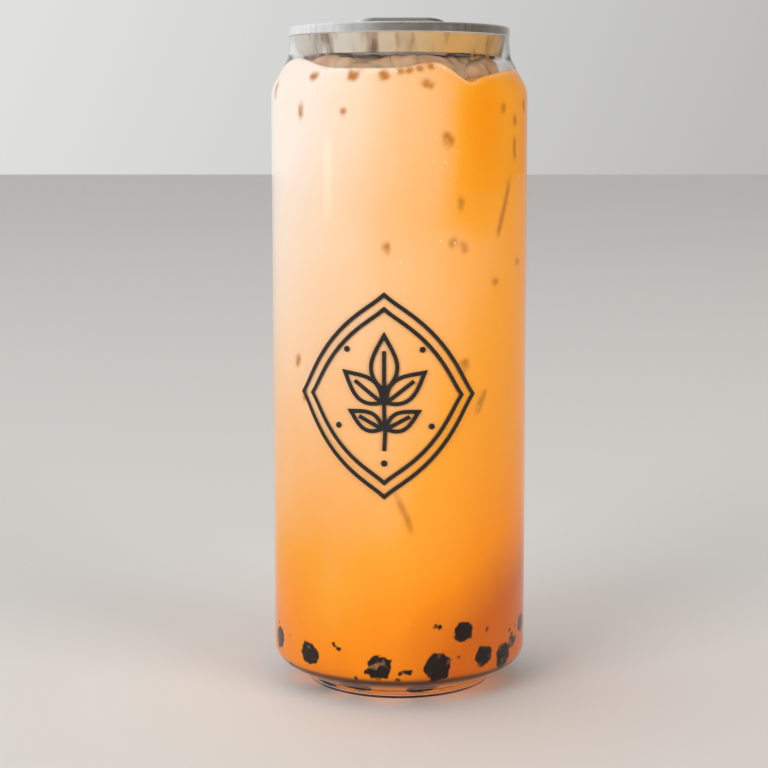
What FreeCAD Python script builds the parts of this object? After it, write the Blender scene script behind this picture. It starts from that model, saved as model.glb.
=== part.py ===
import FreeCAD, Part
import math
import os
import re

import Sketcher

# A can of bubble tea: a clear bottle-plastic can, the milk tea that fills it, the metal end seamed on its
# neck and the pull ring riveted to that end. Millimetres, +Z up, origin at the middle of the foot's plane.
# The ring's free end points to -Y.
SIZES = {
    # the clear can
    "body_dia": 66.0,
    "can_height": 170.0,
    "wall": 0.45,
    "neck_flare": 0.6,
    "neck_length": 8.0,
    "neck_round": 4.0,
    "shoulder_drop": 7.7,
    "shoulder_round": 8.0,
    "heel_rise": 6.8,
    "heel_round": 5.0,
    "base_wall": 0.7,
    "foot_dia": 48.4,
    "foot_height": 1.7,
    "foot_width": 3.3,
    "foot_round": 1.2,
    "dome_rise": 7.6,
    # the drink
    "headroom": 11.4,
    # the metal end
    "seam_dia": 56.6,
    "seam_width": 1.05,
    "seam_lap": 0.25,
    "seam_hook": 0.45,
    "seam_height": 2.5,
    "seam_round": 0.7,
    "sheet": 0.28,
    "recess_depth": 7.4,
    "chuck_taper": 1.0,
    "bead_gap": 0.9,
    "panel_depth": 5.2,
    "panel_step": 0.45,
    "step_inset": 2.4,
    "score_inset": 1.3,
    "score_depth": 0.1,
    "rib_inset": 4.47,
    "rib_height": 0.45,
    "rib_sweep": 88.0,
    "rivet_dia": 4.8,
    "rivet_head_dia": 6.2,
    "rivet_head": 0.5,
    # the pull ring
    "ring_width": 24.8,
    "ring_length": 20.6,
    "ring_corner": 5.8,
    "ring_band": 4.0,
    "ring_bar": 4.4,
    "ring_thick": 1.4,
    "ring_lift": 18.6,
    "ring_web": 0.4,
    "nose_dia": 13.0,
    "nose_window_dia": 9.0,
    "nose_clear": 0.25,
    "tongue_length": 4.6,
    "bend_lap": 1.0,
}
ROUND_SHARE = 0.38
UP = FreeCAD.Vector(0, 0, 1)
NODES = ("clear_can", "milk_tea", "can_end", "pull_ring")

doc = FreeCAD.newDocument("bubble_tea")
sheet = doc.addObject("Spreadsheet::Sheet", "sizes")
for row, (alias, value) in enumerate(SIZES.items(), start=1):
    sheet.set(f"A{row}", alias)
    sheet.set(f"B{row}", str(value))
    sheet.setAlias(f"B{row}", alias)
doc.recompute()

# Lengths that several pieces share, each an expression of the sheet's own cells.
PANEL_R = "seam_dia / 2 - seam_width - sheet - chuck_taper - bead_gap"
RIVET_Y = f"{PANEL_R} - step_inset - panel_step - nose_clear - nose_dia / 2"
TERMS = {
    "body_r": "(body_dia / 2)",
    "seam_r": "(seam_dia / 2)",
    "neck_r": "(seam_dia / 2 - seam_lap)",
    "throat_r": "(seam_dia / 2 - seam_width)",
    "neck_foot_z": "(can_height - neck_length)",
    "shoulder_z": "(can_height - neck_length - shoulder_drop)",
    "foot_r": "(foot_dia / 2)",
    "foot_in_r": "(foot_dia / 2 - foot_width)",
    "heel_slope": "((heel_rise - foot_height) / (body_dia / 2 - foot_dia / 2))",
    "chuck_r": f"({PANEL_R} + bead_gap)",
    "panel_r": f"({PANEL_R})",
    "step_r": f"({PANEL_R} - step_inset)",
    "panel_z": "(can_height - panel_depth)",
    "floor_z": "(can_height - panel_depth - panel_step)",
    "rivet_y": f"({RIVET_Y})",
    "bend_y": f"({RIVET_Y} - tongue_length)",
}


def term(text):
    """An expression of the document, from one written with the bare names above."""
    for name, meaning in TERMS.items():
        text = re.sub(rf"\b{name}\b", meaning, text)
    return re.sub(r"\b([a-z]+(?:_[a-z]+)*)\b(?!\()", lambda m: f"sizes.{m[1]}" if m[1] in SIZES else m[1], text)


def value_of(text):
    return float(sheet.evalExpression(term(text)))


def bind(thing, **fields):
    """Binds properties of an object to expressions; a double underscore stands for a dot."""
    for field, text in fields.items():
        thing.setExpression(field.replace("__", "."), term(text))
    return thing


def origin_plane(body, role):
    return next(f for f in body.Origin.OriginFeatures if f.Role == role)


def new_body(name):
    return doc.addObject("PartDesign::Body", name)


def section(body, name, corners, domes=()):
    """A closed half section in the XZ plane through corners (radius, height). The side that starts at each corner
    numbered in domes is an arc centred on the axis."""
    sketch = body.newObject("Sketcher::SketchObject", name)
    sketch.AttachmentSupport = [(origin_plane(body, "XZ_Plane"), "")]
    sketch.MapMode = "FlatFace"
    points = [FreeCAD.Vector(value_of(r), value_of(z), 0) for r, z in corners]
    for i, start in enumerate(points):
        end = points[(i + 1) % len(points)]
        if i in domes:
            sag = abs(end.y - start.y)
            radius = (start.x**2 + sag**2) / (2 * sag)
            centre = FreeCAD.Vector(0, end.y - radius, 0)
            circle = Part.Circle(centre, UP, radius)
            low = math.atan2(start.y - centre.y, start.x)
            sketch.addGeometry(Part.ArcOfCircle(circle, low, math.pi / 2))
            sketch.addConstraint(Sketcher.Constraint("PointOnObject", i, 3, -2))
        else:
            sketch.addGeometry(Part.LineSegment(start, end))
    for i, (r, z) in enumerate(corners):
        sketch.addConstraint(Sketcher.Constraint("Coincident", i, 2, (i + 1) % len(corners), 1))
        for axis, kind, text, size in ((-2, "DistanceX", r, points[i].x), (-1, "DistanceY", z, points[i].y)):
            if text == "0":
                sketch.addConstraint(Sketcher.Constraint("PointOnObject", i, 1, axis))
            else:
                number = sketch.addConstraint(Sketcher.Constraint(kind, -1, 1, i, 1, size))
                sketch.setExpression(f"Constraints[{number}]", term(text))
    return sketch


def turned(body, sketch, name):
    """A full turn of a half section about the can's axis."""
    feature = body.newObject("PartDesign::Revolution", name)
    feature.Profile = sketch
    feature.ReferenceAxis = (sketch, ["V_Axis"])
    feature.Angle = 360
    sketch.Visibility = False
    doc.recompute()
    return feature


def hoop_names(shape, spots):
    """The names of the circular edges about the axis that pass through the spots (radius, height)."""
    found = []
    for r, z in spots:
        radius, height = value_of(r), value_of(z)
        for number, edge in enumerate(shape.Edges, start=1):
            if edge.Degenerated or not isinstance(edge.Curve, Part.Circle):
                continue
            curve = edge.Curve
            on_axis = math.hypot(curve.Center.x, curve.Center.y) < 1e-6
            if on_axis and abs(curve.Radius - radius) < 1e-4 and abs(curve.Center.z - height) < 1e-4:
                found.append(f"Edge{number}")
    if len(found) != len(spots):
        raise ValueError(f"{len(spots)} corners to round, and {len(found)} edges found")
    return found


def rounded(body, base, name, radius, edge_names):
    feature = body.newObject("PartDesign::Fillet", name)
    feature.Base = (base, edge_names)
    bind(feature, Radius=radius)
    doc.recompute()
    return feature


def rounded_hoops(body, base, rounds):
    """Rounds corners of a turned body, each entry being (name, radius, corners)."""
    for name, radius, spots in rounds:
        base = rounded(body, base, name, radius, hoop_names(base.Shape, spots))
    return base


def solid(kind, name, **fields):
    return bind(doc.addObject(kind, name), **fields)


def boolean(kind, name, base, tool):
    feature = doc.addObject(kind, name)
    feature.Base = base
    feature.Tool = tool
    doc.recompute()
    if kind == "Part::Fuse" and feature.Shape.Volume < max(base.Shape.Volume, tool.Shape.Volume):
        raise RuntimeError(f"{name} lost one of its two halves")
    return feature


def can_outside():
    """The can's outer form as one full solid, open to the sky from the lip of the neck up."""
    body = new_body("can_outside")
    corners = [
        ("foot_r", "0"),
        ("foot_in_r", "0"),
        ("foot_in_r", "foot_height"),
        ("0", "dome_rise"),
        ("0", "can_height - sheet"),
        ("seam_r - seam_hook", "can_height - sheet"),
        ("seam_r - seam_hook", "can_height - seam_height"),
        ("neck_r", "can_height - seam_height"),
        ("neck_r + neck_flare", "neck_foot_z"),
        ("body_r", "shoulder_z"),
        ("body_r", "heel_rise"),
        ("foot_r", "foot_height"),
    ]
    form = turned(body, section(body, "outside_section", corners, domes={2}), "outside_turn")
    rounded_hoops(
        body,
        form,
        [
            ("shoulder_rounding", "shoulder_round", [("body_r", "shoulder_z")]),
            ("neck_rounding", "neck_round", [("neck_r + neck_flare", "neck_foot_z")]),
            ("heel_rounding", "heel_round", [("body_r", "heel_rise")]),
            ("foot_rounding", "foot_round", [("foot_r", "0"), ("foot_in_r", "0")]),
        ],
    )
    return body


def can_inside():
    """The hollow of the can as one full solid, which runs out through the neck."""
    body = new_body("can_inside")
    base_rise = "base_wall * sqrt(1 + heel_slope * heel_slope)"
    corners = [
        ("foot_r - base_wall", "base_wall"),
        ("foot_in_r + base_wall", "base_wall"),
        ("foot_in_r + base_wall", "foot_height + base_wall / 2"),
        ("0", "dome_rise + base_wall"),
        ("0", "can_height"),
        ("throat_r", "can_height"),
        ("throat_r", "can_height - seam_height"),
        ("throat_r + neck_flare", "neck_foot_z"),
        ("body_r - wall", "shoulder_z"),
        ("body_r - wall", f"foot_height + (body_r - wall - foot_r) * heel_slope + {base_rise}"),
        ("foot_r - base_wall", f"foot_height - base_wall * heel_slope + {base_rise}"),
    ]
    form = turned(body, section(body, "inside_section", corners, domes={2}), "inside_turn")
    rounded_hoops(
        body,
        form,
        [
            ("inner_shoulder_rounding", "shoulder_round - wall", [corners[8]]),
            ("inner_neck_rounding", "neck_round + wall", [corners[7]]),
            ("inner_heel_rounding", "heel_round - wall", [corners[9]]),
            ("inner_foot_rounding", "foot_round - base_wall", [corners[0], corners[1]]),
        ],
    )
    return body


def metal_end():
    """The end: the seam over the neck's lip, the wall down into the neck, the bead at its foot and the panel."""
    body = new_body("end_sheet")
    corners = [
        ("seam_r", "can_height - seam_height"),
        ("seam_r", "can_height"),
        ("throat_r - sheet", "can_height"),
        ("chuck_r", "can_height - recess_depth + sheet"),
        ("panel_r", "can_height - recess_depth + sheet"),
        ("panel_r", "panel_z"),
        ("step_r", "panel_z"),
        ("step_r - panel_step", "floor_z"),
        ("0", "floor_z"),
        ("0", "floor_z - sheet"),
        ("step_r - panel_step - sheet / 2", "floor_z - sheet"),
        ("step_r - sheet / 2", "panel_z - sheet"),
        ("panel_r - sheet", "panel_z - sheet"),
        ("panel_r - sheet", "can_height - recess_depth"),
        ("chuck_r + sheet", "can_height - recess_depth"),
        ("throat_r", "can_height - seam_height"),
        ("throat_r", "can_height - sheet"),
        ("seam_r - seam_hook", "can_height - sheet"),
        ("seam_r - seam_hook", "can_height - seam_height"),
    ]
    form = turned(body, section(body, "end_section", corners), "end_turn")
    form = rounded_hoops(
        body,
        form,
        [
            ("seam_rounding", "seam_round", [corners[1]]),
            ("lip_rounding", "seam_round / 2", [corners[2]]),
            ("bead_rounding", "bead_gap * 0.45", [corners[3], corners[4]]),
            ("bead_back_rounding", "bead_gap * 0.45 + sheet", [corners[13], corners[14]]),
            ("panel_rounding", "sheet", [corners[5]]),
            ("hem_rounding", "seam_lap * 0.8", [corners[0]]),
        ],
    )
    score = body.newObject("PartDesign::SubtractiveTorus", "score_line")
    bind(score, Radius1="panel_r - score_inset", Radius2="score_depth", Placement__Base__z="panel_z")
    doc.recompute()
    for side, start in (("right", "-rib_sweep / 2"), ("left", "180 - rib_sweep / 2")):
        rib = body.newObject("PartDesign::AdditiveTorus", f"rib_{side}")
        bind(
            rib,
            Radius1="step_r - rib_inset",
            Radius2="rib_height * 2",
            Angle3="rib_sweep",
            Placement__Base__z="floor_z - rib_height",
        )
        rib.Placement.Rotation = FreeCAD.Rotation(UP, value_of(start))
        doc.recompute()
    shank = body.newObject("PartDesign::AdditiveCylinder", "rivet_shank")
    bind(
        shank,
        Radius="rivet_dia / 2",
        Height="ring_web + sheet",
        Placement__Base__y="rivet_y",
        Placement__Base__z="floor_z - sheet",
    )
    head = body.newObject("PartDesign::AdditiveCylinder", "rivet_head_button")
    bind(
        head,
        Radius="rivet_head_dia / 2",
        Height="rivet_head",
        Placement__Base__y="rivet_y",
        Placement__Base__z="floor_z + ring_web",
    )
    doc.recompute()
    return body


def upright_names(shape):
    """The names of a plate's straight upright edges."""
    return [
        f"Edge{number}"
        for number, edge in enumerate(shape.Edges, start=1)
        if len(edge.Vertexes) == 2 and (edge.Vertexes[0].Point - edge.Vertexes[1].Point).cross(UP).Length < 1e-6
    ]


def level_names(shape, but_at):
    """The names of a plate's level edges, but for those along its end, given as a place on Y."""
    limit = value_of(but_at)
    return [
        f"Edge{number}"
        for number, edge in enumerate(shape.Edges, start=1)
        if abs(edge.Vertexes[0].Z - edge.Vertexes[-1].Z) < 1e-6
        and not all(abs(corner.Y - limit) < 1e-6 for corner in edge.Vertexes)
    ]


def ring_nose():
    """The flat end of the pull ring that is held under the rivet's head, seated on the panel."""
    body = new_body("ring_nose")
    plate = body.newObject("PartDesign::AdditiveCylinder", "nose_plate")
    bind(plate, Radius="nose_dia / 2", Height="ring_thick", Placement__Base__y="rivet_y")
    bind(plate, Placement__Base__z="floor_z")
    tongue = body.newObject("PartDesign::AdditiveBox", "nose_tongue")
    bind(tongue, Length="nose_dia", Width="tongue_length + bend_lap", Height="ring_thick")
    bind(tongue, Placement__Base__x="-nose_dia / 2", Placement__Base__y="bend_y - bend_lap")
    bind(tongue, Placement__Base__z="floor_z")
    doc.recompute()
    rims = level_names(tongue.Shape, "bend_y - bend_lap")
    rounded(body, tongue, "nose_curl", f"ring_thick * {ROUND_SHARE}", rims)
    window = body.newObject("PartDesign::SubtractiveCylinder", "nose_window")
    bind(window, Radius="nose_window_dia / 2", Height="ring_thick", Placement__Base__y="rivet_y")
    bind(window, Placement__Base__z="floor_z + ring_web")
    hole = body.newObject("PartDesign::SubtractiveCylinder", "rivet_hole")
    bind(hole, Radius="rivet_dia / 2", Height="ring_web * 4", Placement__Base__y="rivet_y")
    bind(hole, Placement__Base__z="floor_z - ring_web")
    doc.recompute()
    return body


def ring_loop():
    """The finger loop, flat in its own frame with the bend along X at the origin, then lifted about the bend."""
    body = new_body("ring_loop")
    plate = body.newObject("PartDesign::AdditiveBox", "loop_plate")
    bind(plate, Length="ring_width", Width="ring_length", Height="ring_thick")
    bind(plate, Placement__Base__x="-ring_width / 2", Placement__Base__y="-ring_length")
    bind(plate, Placement__Base__z="-ring_thick / 2")
    doc.recompute()
    outline = rounded(body, plate, "loop_corners", "ring_corner", upright_names(plate.Shape))
    outer_corners = {tuple(e.CenterOfMass) for e in outline.Shape.Edges}
    hole = body.newObject("PartDesign::SubtractiveBox", "finger_hole")
    bind(hole, Length="ring_width - 2 * ring_band", Width="ring_length - ring_band - ring_bar")
    bind(hole, Height="ring_thick * 2", Placement__Base__x="ring_band - ring_width / 2")
    bind(hole, Placement__Base__y="ring_band - ring_length", Placement__Base__z="-ring_thick")
    doc.recompute()
    inner = [n for n in upright_names(hole.Shape) if tuple(hole.Shape.getElement(n).CenterOfMass) not in outer_corners]
    opened = rounded(body, hole, "hole_corners", "ring_corner - ring_band", inner)
    rounded(body, opened, "loop_curl", f"ring_thick * {ROUND_SHARE}", level_names(opened.Shape, "0"))
    body.Placement.Rotation = FreeCAD.Rotation(FreeCAD.Vector(1, 0, 0), -value_of("ring_lift"))
    bind(body, Placement__Base__y="bend_y", Placement__Base__z="floor_z + ring_thick / 2")
    doc.recompute()
    return body


def main():
    outside, inside = can_outside(), can_inside()
    clear_can = boolean("Part::Cut", "clear_can", outside, inside)

    fill = solid("Part::Cylinder", "fill", Radius="body_dia", Height="can_height - headroom")
    milk_tea = boolean("Part::Common", "milk_tea", inside, fill)

    can_end = metal_end()
    can_end.Label = "can_end"

    nose, loop = ring_nose(), ring_loop()
    pull_ring = boolean("Part::Fuse", "pull_ring", nose, loop)

    failed = [o.Label for o in doc.Objects if {"Invalid", "Error"} & set(o.State)]
    if failed:
        raise RuntimeError(f"these failed to build: {failed}")
    os.makedirs("parts", exist_ok=True)
    for name, piece in zip(NODES, (clear_can, milk_tea, can_end, pull_ring)):
        piece.Label = name
        shape = piece.Shape
        if shape.isNull() or not shape.isValid() or not shape.Solids:
            raise RuntimeError(f"{name} has no valid solid")
        shape.exportStep(f"parts/{name}.step")
        box = shape.optimalBoundingBox(True, False)
        print(name, len(shape.Solids), round(shape.Volume, 1), [round(v, 2) for v in (box.XMin, box.XMax, box.YMin, box.YMax, box.ZMin, box.ZMax)])


main()
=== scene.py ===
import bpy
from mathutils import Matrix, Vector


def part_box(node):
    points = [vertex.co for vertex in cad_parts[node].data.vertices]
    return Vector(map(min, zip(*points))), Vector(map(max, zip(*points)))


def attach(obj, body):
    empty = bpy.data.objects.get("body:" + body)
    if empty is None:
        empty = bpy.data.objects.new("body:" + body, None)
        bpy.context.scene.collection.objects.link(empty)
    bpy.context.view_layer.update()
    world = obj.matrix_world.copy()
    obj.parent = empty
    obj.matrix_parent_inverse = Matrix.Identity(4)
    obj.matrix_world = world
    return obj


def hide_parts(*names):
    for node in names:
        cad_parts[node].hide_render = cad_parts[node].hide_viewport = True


bl_info = {
    "name": "Bubble tea in a clear can",
    "version": (1, 0, 0),
    "blender": (4, 5, 0),
    "location": "3D View > Sidebar > Bubble tea",
    "description": "Finishes a clear can of milk tea: pearls, ice, foam, print, metal end and stage",
    "category": "Object",
}
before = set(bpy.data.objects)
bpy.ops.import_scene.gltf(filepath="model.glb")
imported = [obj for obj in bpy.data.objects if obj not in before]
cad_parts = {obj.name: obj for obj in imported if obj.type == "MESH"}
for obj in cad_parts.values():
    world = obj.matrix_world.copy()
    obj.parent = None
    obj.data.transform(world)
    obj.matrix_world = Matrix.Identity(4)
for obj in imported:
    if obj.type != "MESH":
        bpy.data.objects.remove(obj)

import math
import random

import bmesh
import bpy
import numpy as np
from bpy.props import FloatProperty, FloatVectorProperty, IntProperty, PointerProperty
from mathutils import Matrix, Vector, noise
from mathutils.bvhtree import BVHTree

MM = 0.001
CAN_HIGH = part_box("clear_can")[1]
END_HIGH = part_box("can_end")[1]
TEA_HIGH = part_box("milk_tea")[1]
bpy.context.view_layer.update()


def length(name, description, millimetres):
    """A length property in metres, written in millimetres."""
    return FloatProperty(
        name=name, description=description, default=millimetres * MM, unit="LENGTH", precision=5
    )


def as_light(value):
    """A colour card's value, from 0 to 1, as an amount of light."""
    return ((value + 0.055) / 1.055) ** 2.4 if value > 0.04045 else value / 12.92


def colour(name, description, red, green, blue):
    """A colour property, written in the 0 to 255 values of a colour card."""
    light = [as_light(value / 255) for value in (red, green, blue)]
    return FloatVectorProperty(
        name=name, description=description, default=light, subtype="COLOR", size=3, min=0, max=1
    )


# ---------------------------------------------------------------------------------------------- properties


class CanSizes(bpy.types.PropertyGroup):
    """The clear can's section."""

    body_radius: length("Body radius", "Outside of the straight body", CAN_HIGH.x / MM)
    height: length("Height", "From the foot to the top of the seam", END_HIGH.z / MM)
    wall: length("Wall", "Thickness of the body's wall", 0.45)
    seam_radius: length("Seam radius", "Outside of the metal seam", END_HIGH.x / MM)
    seam_width: length("Seam width", "From the seam's outside to the throat", 1.05)
    seam_lap: length("Seam lap", "How much narrower the neck is than the seam", 0.25)
    neck_flare: length("Neck flare", "How much wider the neck is at its foot", 0.6)
    neck_length: length("Neck length", "From the top down to the shoulder", 8.0)
    neck_round: length("Neck rounding", "Hollow rounding between neck and shoulder", 4.0)
    shoulder_drop: length("Shoulder drop", "Height of the sloping shoulder", 7.7)
    shoulder_round: length("Shoulder rounding", "Rounding between shoulder and body", 8.0)
    heel_rise: length("Heel rise", "Height of the corner between heel and body", 6.8)
    heel_round: length("Heel rounding", "Rounding of that corner", 5.0)
    base_wall: length("Base wall", "Thickness of the base", 0.7)
    foot_radius: length("Foot radius", "Outside of the foot ring", 24.2)
    foot_height: length("Foot height", "Height of the foot ring", 1.7)
    foot_width: length("Foot width", "Width of the foot ring", 3.3)
    foot_round: length("Foot rounding", "Rounding of the foot ring's edges", 1.2)
    dome_rise: length("Dome rise", "Height of the dome under the can", 7.6)
    seam_hook: length("Seam hook", "Thickness of the metal outside the neck", 0.45)
    seam_height: length("Seam height", "Height of the seam", 2.5)
    sheet: length("Sheet", "Thickness of the end's metal", 0.28)
    segments: IntProperty(name="Segments", description="Sides of the turned pieces", default=288, min=64)


class EndSizes(bpy.types.PropertyGroup):
    """The golden lacquer on the side of the metal end that is turned to the drink."""

    coat: length("Coat", "Thickness of the lacquer", 0.03)
    recess_depth: length("Recess depth", "From the seam's top to the end's lowest place", 7.4)
    chuck_taper: length("Chuck taper", "How much the wall below the seam leans in", 1.0)
    bead_gap: length("Bead gap", "Width of the bead round the panel", 0.9)
    panel_depth: length("Panel depth", "From the seam's top to the panel's edge", 5.2)


class TeaLooks(bpy.types.PropertyGroup):
    """The tea's level and colours."""

    overlap: length("Overlap", "How far the tea reaches into the wall, so that no air gap shows", 0.05)
    row_height: length("Row height", "Height of the tea's rows of faces", 0.52)
    swell: length("Swell", "How uneven the tea's top is", 0.9)
    milk: colour("Milk", "The palest tea, where the milk lies", 253, 238, 226)
    cream: colour("Cream", "Pale tea", 253, 222, 192)
    peach: colour("Peach", "Milky tea", 252, 192, 132)
    orange: colour("Orange", "Tea with little milk", 252, 165, 44)
    amber: colour("Amber", "Strong tea", 250, 144, 0)
    # Painted shade and light at the heel: the crease colour darkens the tea in the crease above the heel, and
    # the heel's tone is tea in the heel's shade, painted a brighter orange to make up for that shade.
    brown: colour("Brown", "The strongest tea, low at the side", 206, 99, 0)
    crease: colour("Crease", "Tea in the crease above the heel", 96, 46, 6)
    heel_shade_tone: colour("Heel shade tone", "Tea in the shade of the heel", 246, 146, 38)
    pearl_shadow: colour("Pearl shadow", "Tea in a thin film over a pearl", 22, 9, 5)
    ice_shadow: colour("Ice shadow", "Tea in a thin film over ice", 192, 116, 30)
    meniscus: FloatProperty(
        name="Meniscus", description="How much milkier the tea is at its edge", default=0.14, min=0, max=1
    )


class PearlSizes(bpy.types.PropertyGroup):
    """The tapioca pearls."""

    radius: length("Radius", "A usual pearl's radius", 4.3)
    spread: FloatProperty(
        name="Spread", description="Share by which radii differ", default=0.1, min=0, max=0.5
    )
    lumps: length("Lumps", "Depth of the lumps on a pearl", 0.45)
    film: length("Film", "Thickness of the tea between a pearl and the wall", 0.12)
    seed: IntProperty(name="Seed", description="Which loose heap of pearls", default=7)


class IceSizes(bpy.types.PropertyGroup):
    """The ice."""

    cube: length("Cube", "Edge of a melting cube", 13.0)
    seed: IntProperty(name="Seed", description="Which ice", default=3)


class PrintSizes(bpy.types.PropertyGroup):
    """The black print on the body."""

    line: length("Line", "Width of the drawn lines", 1.0)
    ink: length("Ink", "Thickness of the ink", 0.05)
    width: length("Width", "Width of the whole print", 46.0)
    height: length("Height", "Height of the whole print", 50.0)
    middle: length("Middle", "Height of the print's middle above the foot", 79.0)
    turn: FloatProperty(
        name="Turn",
        description="Angle from the front to the print's middle",
        default=math.radians(-6.5),
        subtype="ANGLE",
    )


class StageSettings(bpy.types.PropertyGroup):
    """The camera and the light."""

    distance: length("Distance", "From the can's axis to the camera", 480.0)
    eye: length("Eye height", "Height of the camera above the floor", 143.0)
    aim: length("Aim height", "Height of the point that the camera looks at", 87.8)
    focal: FloatProperty(name="Focal length", description="In millimetres on a 36 mm sensor", default=86.5)
    shift_x: FloatProperty(name="Shift X", description="Sideways shift of the lens", default=-0.02)
    shift_y: FloatProperty(name="Shift Y", description="Upward shift of the lens", default=-0.05)
    floor: colour("Floor", "The plain floor", 236, 235, 233)


GROUPS = {
    "clear_can_sizes": CanSizes,
    "can_end_sizes": EndSizes,
    "milk_tea_looks": TeaLooks,
    "pearl_sizes": PearlSizes,
    "ice_sizes": IceSizes,
    "print_sizes": PrintSizes,
    "stage_settings": StageSettings,
}


def group(name):
    return getattr(bpy.context.scene, name)


# ---------------------------------------------------------------------------------------------- sections


def rounded(corners, steps=10):
    """The points (radius, height) of an outline through corners (radius, height, rounding)."""
    points = []
    for i, (r, z, rounding) in enumerate(corners):
        here = Vector((r, z))
        if not rounding or i in (0, len(corners) - 1):
            points.append(here)
            continue
        back = (Vector(corners[i - 1][:2]) - here).normalized()
        ahead = (Vector(corners[i + 1][:2]) - here).normalized()
        half = back.angle(ahead) / 2
        centre = here + (back + ahead).normalized() * rounding / math.sin(half)
        start = here + back * rounding / math.tan(half) - centre
        end = here + ahead * rounding / math.tan(half) - centre
        turn = start.angle_signed(end)
        points += [centre + Matrix.Rotation(-turn * k / steps, 2) @ start for k in range(steps + 1)]
    return points


def dome(edge_radius, edge_height, top, steps=24):
    """The points of a dome's section, from its edge to the axis, without the edge itself."""
    sag = top - edge_height
    radius = (edge_radius**2 + sag**2) / (2 * sag)
    low = math.asin(edge_radius / radius)
    points = []
    for k in range(1, steps + 1):
        lean = low * (1 - k / steps)
        points.append(Vector((radius * math.sin(lean), top - radius + radius * math.cos(lean))))
    return points


def outside_wall():
    """The can's outside, from the axis under the dome to the lip of the neck."""
    c = group("clear_can_sizes")
    foot_in = c.foot_radius - c.foot_width
    neck = c.seam_radius - c.seam_lap
    side = [
        (foot_in, c.foot_height, 0),
        (foot_in, 0, c.foot_round),
        (c.foot_radius, 0, c.foot_round),
        (c.foot_radius, c.foot_height, 0),
        (c.body_radius, c.heel_rise, c.heel_round),
        (c.body_radius, c.height - c.neck_length - c.shoulder_drop, c.shoulder_round),
        (neck + c.neck_flare, c.height - c.neck_length, c.neck_round),
        (neck, c.height - c.seam_height, 0),
        (c.seam_radius - c.seam_hook, c.height - c.seam_height, 0),
        (c.seam_radius - c.seam_hook, c.height - c.sheet, 0),
    ]
    return dome(foot_in, c.foot_height, c.dome_rise)[::-1] + rounded(side)


def inside_wall():
    """The can's inside, from the axis over the dome to the lip of the neck."""
    c = group("clear_can_sizes")
    slope = (c.heel_rise - c.foot_height) / (c.body_radius - c.foot_radius)
    rise = c.base_wall * math.hypot(1, slope)
    foot_in, foot_out = c.foot_radius - c.foot_width + c.base_wall, c.foot_radius - c.base_wall
    body = c.body_radius - c.wall
    throat = c.seam_radius - c.seam_width
    side = [
        (foot_in, c.foot_height + c.base_wall / 2, 0),
        (foot_in, c.base_wall, c.foot_round - c.base_wall),
        (foot_out, c.base_wall, c.foot_round - c.base_wall),
        (foot_out, c.foot_height - c.base_wall * slope + rise, 0),
        (body, c.foot_height + (body - c.foot_radius) * slope + rise, c.heel_round - c.wall),
        (body, c.height - c.neck_length - c.shoulder_drop, c.shoulder_round - c.wall),
        (throat + c.neck_flare, c.height - c.neck_length, c.neck_round + c.wall),
        (throat, c.height - c.seam_height, 0),
        (throat, c.height - c.sheet, 0),
    ]
    return dome(foot_in, c.foot_height + c.base_wall / 2, c.dome_rise + c.base_wall)[::-1] + rounded(side)


class Hollow:
    """Where the inside of the can lies, for what is sunk in the tea."""

    def __init__(self):
        points = np.array([tuple(p) for p in inside_wall()])
        lowest = int(np.argmin(points[:, 1]))
        self.floor = points[: lowest + 1]
        self.side = points[lowest:]

    def radius(self, z):
        """The inside radius at a height."""
        return np.interp(z, self.side[:, 1], self.side[:, 0])

    def base(self, r):
        """The height of the base inside, at a radius."""
        r_all = np.concatenate([self.floor[:, 0], self.side[:, 0]])
        z_all = np.concatenate([self.floor[:, 1], self.side[:, 1]])
        reach = int(np.argmax(r_all >= r_all.max() - 1e-9))
        return np.interp(r, r_all[: reach + 1], z_all[: reach + 1])

    def press(self, points, depth):
        """Points pressed back to the can's inside, which they may pass by a depth."""
        points = np.array(points)
        r = np.hypot(points[:, 0], points[:, 1])
        limit = self.radius(points[:, 2]) + depth
        points[:, :2] *= np.minimum(1, limit / np.maximum(r, 1e-9))[:, None]
        points[:, 2] = np.maximum(points[:, 2], self.base(np.minimum(r, limit) - depth) - depth)
        return points


# The waves of the waterline, in mm: the slow ones and the small uneven ones.
WATER_SWAY, WATER_RIPPLE = 0.12, 0.15

# Where the tea stands higher or lower at the wall: the angle, the width in degrees and the rise in mm.
WATER_BUMPS = [
    (32, 6.5, -2.3), (41, 13, -1.6), (16, 9, 1.5), (-62, 20, 3.0),
    (80, 12, 0.6), (125, 16, 1.4), (-150, 20, -1.6),
]


def waterline(angle):
    """The tea's height at the wall, at an angle from the front, positive to the right."""
    around = Vector((math.sin(angle), math.cos(angle), 0)) * 5
    z = TEA_HIGH.z + WATER_SWAY * MM * math.sin(3 * angle + 0.8) + WATER_RIPPLE * MM * noise.noise(around)
    for middle, width, rise in WATER_BUMPS:
        away = math.remainder(angle - math.radians(middle), math.tau) / math.radians(width)
        z += rise * MM * math.exp(-away * away)
    return z


# ---------------------------------------------------------------------------------------------- meshes


def new_piece(name, mesh, finish, replaces=()):
    """A finished piece of the object, riding on the can."""
    piece = bpy.data.objects.new(name, mesh)
    bpy.context.scene.collection.objects.link(piece)
    mesh.materials.clear()
    mesh.materials.append(finish)
    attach(piece, "root")
    if replaces:
        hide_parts(*replaces)
    return piece


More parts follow.
